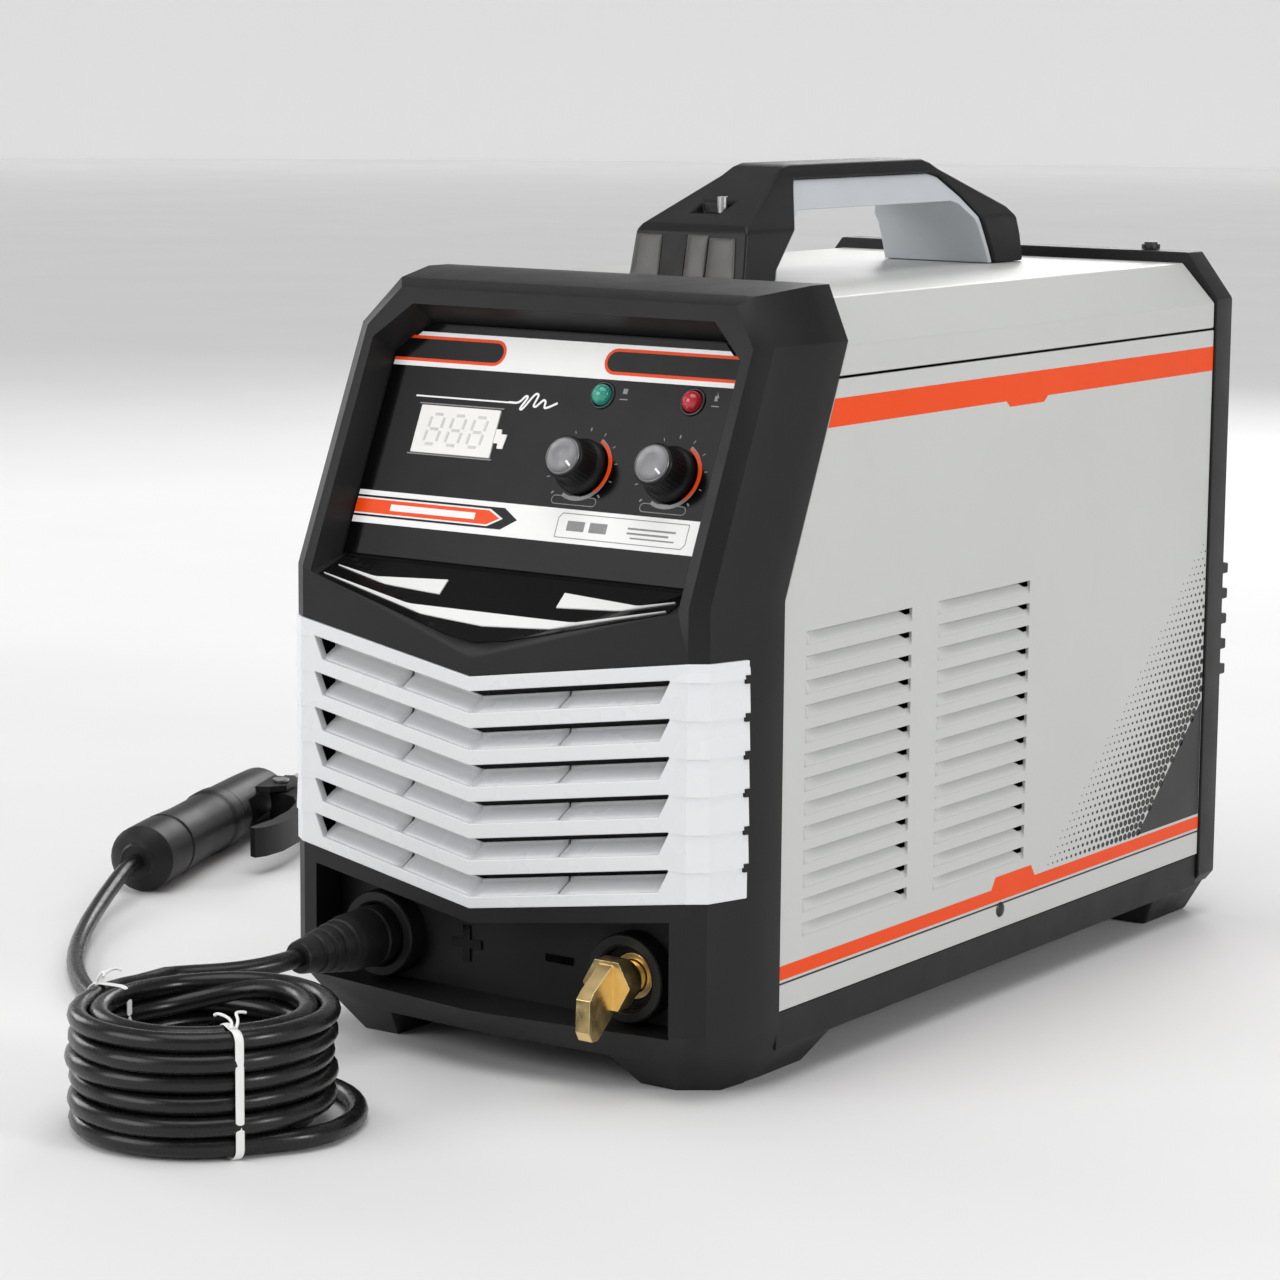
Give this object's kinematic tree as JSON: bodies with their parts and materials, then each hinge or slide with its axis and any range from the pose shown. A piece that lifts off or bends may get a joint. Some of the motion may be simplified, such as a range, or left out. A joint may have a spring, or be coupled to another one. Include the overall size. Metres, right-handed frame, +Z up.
{
  "type": "stick welding inverter",
  "caption": "Portable stick welding inverter: a louvred sheet-metal case between moulded frames, with handle, control panel, output sockets, fan, coiled electrode lead and holder.",
  "frame": {"origin": "on the ground under the middle of the machine's own box, feet at z = 0", "axes": "+Z up, +Y from the control panel to the rear, +X to the right seen from the front"},
  "size_m": [0.5268, 0.6246, 0.362],
  "materials": {
    "aluminium": "extruded aluminium",
    "black_gloss": "glossy black overlay",
    "black_paint": "black powder coat",
    "black_plastic": "moulded black plastic with a fine satin texture",
    "board": "green circuit board",
    "brass": "machined brass",
    "component_blue": "dark blue capacitor sleeves",
    "copper": "copper",
    "flux": "grey flux coating",
    "green_lens": "green indicator lens",
    "grey_paint": "light warm grey powder coat",
    "knob_plastic": "dark knob with a metallic cap",
    "liner_plastic": "light grey satin moulding",
    "red_lens": "red indicator lens",
    "rocker_red": "red rocker",
    "rubber": "black rubber",
    "silver_plastic": "silver-grey gloss moulding",
    "steel": "zinc plated steel",
    "tie_white": "white nylon tie",
    "winding": "varnished windings",
    "window": "pale display window"
  },
  "bodies": {
    "root": {"base_chassis": "black_paint", "busbar_negative": "copper", "busbar_positive": "copper", "cable_coil": "rubber", "cable_gland": "black_plastic", "cable_lead": "rubber", "cable_tail": "rubber", "capacitor_bank": "component_blue", "coil_tie_1": "tie_white", "coil_tie_2": "tie_white", "contact_negative": "brass", "contact_positive": "brass", "control_board": "board", "control_panel": "black_gloss", "display_module": "black_plastic", "display_window": "window", "electrode": "flux", "fan_guard": "black_plastic", "fan_housing": "black_plastic", "frame_screw_rear": "steel", "front_frame": "black_plastic", "front_grille": "silver_plastic", "ground_stud": "brass", "handle_liner": "liner_plastic", "handle_screw_front": "steel", "handle_shell": "black_plastic", "heatsink": "aluminium", "holder_handle": "black_plastic", "holder_head": "black_plastic", "holder_jaw": "copper", "holder_pin": "steel", "holder_spring": "steel", "led_green": "green_lens", "led_red": "red_lens", "main_board": "board", "output_inductor": "winding", "potentiometer_arc_force": "steel", "potentiometer_current": "steel", "power_switch_body": "black_plastic", "rear_foot_left": "rubber", "rear_foot_right": "rubber", "rear_frame": "black_plastic", "rear_panel": "grey_paint", "side_panel_left": "grey_paint", "side_panel_right": "grey_paint", "side_screw_left": "steel", "side_screw_right": "steel", "socket_negative": "black_plastic", "socket_positive": "black_plastic", "top_cover": "grey_paint", "transformer": "winding"},
    "knob_arc_force_body": {"knob_arc_force": "knob_plastic"},
    "knob_current_body": {"knob_current": "knob_plastic"},
    "fan": {"fan_rotor": "black_plastic"},
    "rocker": {"power_switch_rocker": "rocker_red"},
    "minus_terminal": {"brass_terminal": "brass"},
    "plus_plug": {"plug_sleeve": "rubber", "plug_pin": "brass"},
    "lever": {"holder_lever": "black_plastic"}
  },
  "joints": [
    {"name": "knob_arc_force_turn", "type": "hinge", "parent": "root", "child": "knob_arc_force_body", "pos_m": [0.0206, -0.18369, 0.24818], "axis": [0, -0.9153, 0.4027], "range_deg": [-135, 135]},
    {"name": "knob_current_turn", "type": "hinge", "parent": "root", "child": "knob_current_body", "pos_m": [0.064, -0.18369, 0.24818], "axis": [0, -0.9153, 0.4027], "range_deg": [-135, 135]},
    {"name": "fan_spin", "type": "hinge", "parent": "root", "child": "fan", "pos_m": [0, 0.1966, 0.165], "axis": [0, 1, 0], "continuous": true},
    {"name": "power_rocker", "type": "hinge", "parent": "root", "child": "rocker", "pos_m": [-0.052, 0.2156, 0.262], "axis": [1, 0, 0], "range_deg": [-22.9, 0]},
    {"name": "minus_terminal_twist", "type": "hinge", "parent": "root", "child": "minus_terminal", "pos_m": [0.063, -0.2048, 0.0458], "axis": [0, 1, 0], "range_deg": [0, 90]},
    {"name": "plus_plug_twist", "type": "hinge", "parent": "root", "child": "plus_plug", "pos_m": [-0.063, -0.2048, 0.0458], "axis": [0, 1, 0], "range_deg": [0, 90]},
    {"name": "lever_squeeze", "type": "hinge", "parent": "root", "child": "lever", "pos_m": [-0.36109, 0.08311, 0.0168], "axis": [0, 0, -1], "range_deg": [0, 12], "stiffness_Nm_per_rad": 1.2, "springref_deg": -17.19}
  ]
}
